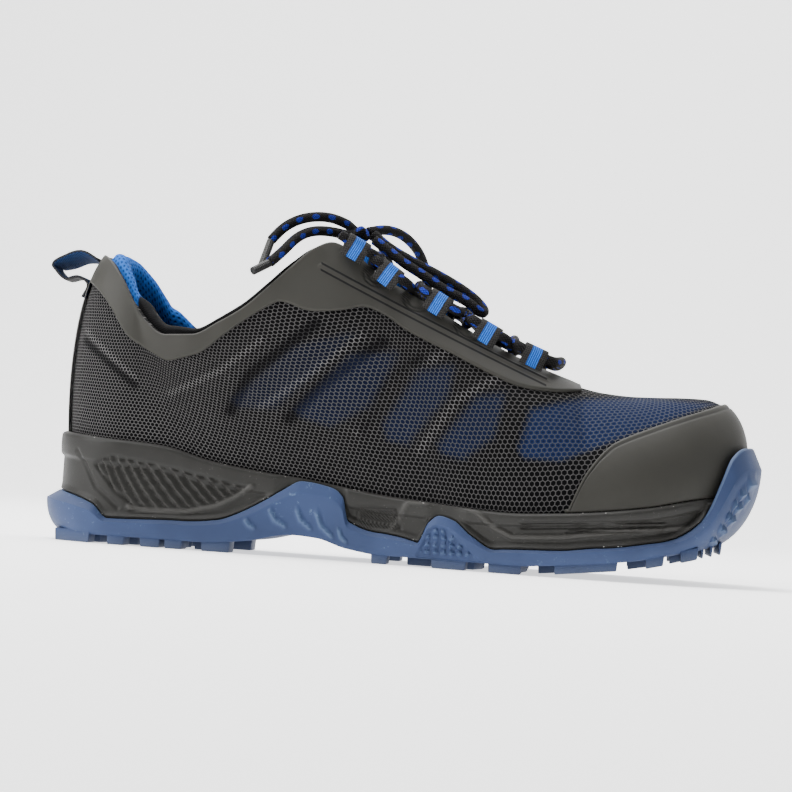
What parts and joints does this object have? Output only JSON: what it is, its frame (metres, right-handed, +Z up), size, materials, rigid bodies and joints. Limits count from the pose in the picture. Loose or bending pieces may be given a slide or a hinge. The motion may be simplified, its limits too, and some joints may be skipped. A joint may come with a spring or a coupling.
{
  "type": "safety sneaker",
  "caption": "Low lace-up safety sneaker with a mesh upper, smooth collar and toe overlays, foam midsole, lugged rubber cup sole, webbing lace loops and a heel pull tab.",
  "frame": {"origin": "on the floor under the middle of the shoe's length and width", "axes": "+X to the toe, +Y to the inner side of this right shoe, +Z up"},
  "size_m": [0.3026, 0.1082, 0.1441],
  "materials": {
    "blue_rubber": "satin moulded rubber, fine grain",
    "black_foam": "satin moulded foam",
    "black_padding": "matt knit",
    "black_mesh": "open hexagonal mesh over a blue backing",
    "grey_film": "smooth matt welded film",
    "blue_lining": "dimpled spacer mesh",
    "blue_webbing": "ribbed webbing, black at its edges",
    "black_webbing": "woven tape",
    "lace_black": "round braid with blue flecks",
    "aglet_plastic": "dull translucent tip"
  },
  "bodies": {
    "root": {"outsole": "blue_rubber", "midsole": "black_foam", "insole": "black_padding", "upper": "black_mesh", "toe_cap": "grey_film", "collar_film": "grey_film", "collar_padding": "blue_lining", "tongue": "black_padding", "lace_loop_outer_1": "blue_webbing", "lace_loop_outer_2": "blue_webbing", "lace_loop_outer_3": "blue_webbing", "lace_loop_outer_4": "blue_webbing", "lace_loop_outer_5": "blue_webbing", "lace_loop_inner_1": "blue_webbing", "lace_loop_inner_2": "blue_webbing", "lace_loop_inner_3": "blue_webbing", "lace_loop_inner_4": "blue_webbing", "lace_loop_inner_5": "blue_webbing", "lace_crossings": "lace_black", "lace_knot": "lace_black", "lace_bow_front": "lace_black", "lace_bow_inner": "lace_black", "lace_end_high": "lace_black", "lace_end_low": "lace_black", "aglet_high": "aglet_plastic", "aglet_low": "aglet_plastic", "pull_tab": "black_webbing"}
  },
  "joints": []
}
